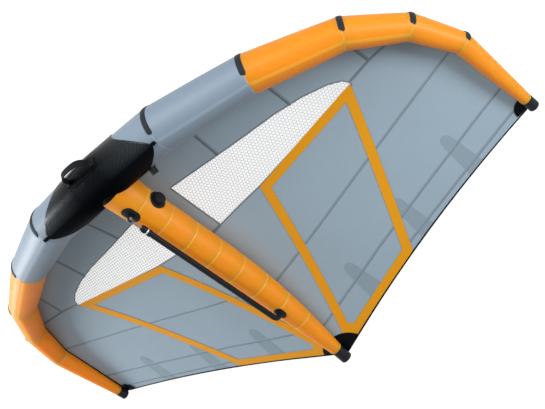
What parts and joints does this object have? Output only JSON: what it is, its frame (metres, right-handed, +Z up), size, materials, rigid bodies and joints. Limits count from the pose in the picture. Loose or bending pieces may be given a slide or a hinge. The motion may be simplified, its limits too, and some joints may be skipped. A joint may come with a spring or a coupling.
{
  "type": "inflatable hand wing",
  "caption": "Inflatable wing held by hand: bent tapering leading edge tube, padded strut with a boom that unhooks and swings, cambered canopy with clear windows, nose handle and air valves",
  "frame": {"origin": "centre of the wing's box, on the ground it lies on", "axes": "+X along the span to the half with the strut's valve, +Y to the leading edge, +Z up; the wing lies on its back with the strut and boom up"},
  "size_m": [3.0896, 1.6822, 0.5994],
  "materials": {
    "tube_grey": "woven polyester, satin",
    "tube_orange": "woven polyester, satin",
    "canopy_cloth": "ripstop cloth",
    "window_film": "clear film with scrim",
    "stripe_cloth": "sewn-in ripstop",
    "fin_cloth": "doubled ripstop",
    "seam_tape": "sewn tape",
    "black_patch": "coated cloth",
    "bumper_cover": "coated cloth, slight sheen",
    "webbing": "padded webbing",
    "bladder_film": "clear film",
    "black_moulding": "moulded",
    "boom_finish": "black, satin",
    "bare_metal": "satin"
  },
  "bodies": {
    "wing": {"le_panel_1_right": "tube_grey", "le_panel_2_right": "tube_grey", "le_panel_3_right": "tube_orange", "le_panel_4_right": "tube_orange", "le_panel_5_right": "tube_orange", "le_panel_6_right": "tube_orange", "le_panel_1_left": "tube_grey", "le_panel_2_left": "tube_grey", "le_panel_3_left": "tube_orange", "le_panel_4_left": "tube_orange", "le_panel_5_left": "tube_orange", "le_panel_6_left": "tube_orange", "strut_panel_1": "tube_orange", "strut_panel_2": "tube_orange", "strut_panel_3": "tube_orange", "strut_panel_4": "tube_orange", "strut_panel_5": "tube_orange", "strut_panel_6": "tube_orange", "strut_panel_7": "tube_orange", "strut_panel_8": "tube_orange", "strut_panel_9": "tube_orange", "canopy_nose_right": "canopy_cloth", "canopy_mid_right": "canopy_cloth", "canopy_aft_right": "canopy_cloth", "canopy_tail_right": "canopy_cloth", "canopy_nose_left": "canopy_cloth", "canopy_mid_left": "canopy_cloth", "canopy_aft_left": "canopy_cloth", "canopy_tail_left": "canopy_cloth", "canopy_strip": "canopy_cloth", "window_right": "window_film", "window_left": "window_film", "stripe_right": "stripe_cloth", "stripe_left": "stripe_cloth", "le_bladder": "bladder_film", "strut_bladder": "bladder_film", "tip_cap_right": "black_moulding", "tip_cap_left": "black_moulding", "strut_cap": "black_moulding", "bumper": "bumper_cover", "handle_base": "bumper_cover", "seam_pads_right": "black_patch", "seam_pads_left": "black_patch", "seam_tapes": "seam_tape", "fin_patches": "fin_cloth", "tail_tapes": "black_patch", "corner_patches": "black_patch", "strut_valve_base": "black_moulding", "le_valve_base": "black_moulding", "boom_patch": "black_moulding", "boom_lug": "black_moulding", "boom_pin": "bare_metal", "boom_socket": "black_moulding"},
    "boom": {"boom_fork": "bare_metal", "boom_tube": "boom_finish", "boom_elbow": "black_moulding"},
    "boom_adjuster": {"boom_adjuster": "bare_metal"},
    "strut_valve_cap": {"strut_valve_cap": "black_moulding"},
    "le_valve_cap": {"le_valve_cap": "black_moulding"},
    "handle_loop": {"handle_loop": "webbing"}
  },
  "joints": [
    {"name": "boom_swing", "type": "hinge", "parent": "wing", "child": "boom", "pos_m": [0, 0.49734, 0.35252], "axis": [-1, 0, 0], "range_deg": [0, 75]},
    {"name": "boom_adjuster_turn", "type": "hinge", "parent": "boom", "child": "boom_adjuster", "pos_m": [0, 0.40234, 0.37211], "axis": [0, -0.9794, 0.202], "continuous": true},
    {"name": "strut_valve_cap_turn", "type": "hinge", "parent": "wing", "child": "strut_valve_cap", "pos_m": [0.088, 0.40955, 0.24905], "axis": [1, 0, 0], "continuous": true},
    {"name": "le_valve_cap_turn", "type": "hinge", "parent": "wing", "child": "le_valve_cap", "pos_m": [0.25, 0.56073, 0.2619], "axis": [0, -0.7801, 0.6256], "continuous": true},
    {"name": "handle_flop", "type": "hinge", "parent": "wing", "child": "handle_loop", "pos_m": [0, 0.77388, 0.22587], "axis": [1, 0, 0], "range_deg": [-30, 30], "stiffness_Nm_per_rad": 1.2}
  ]
}
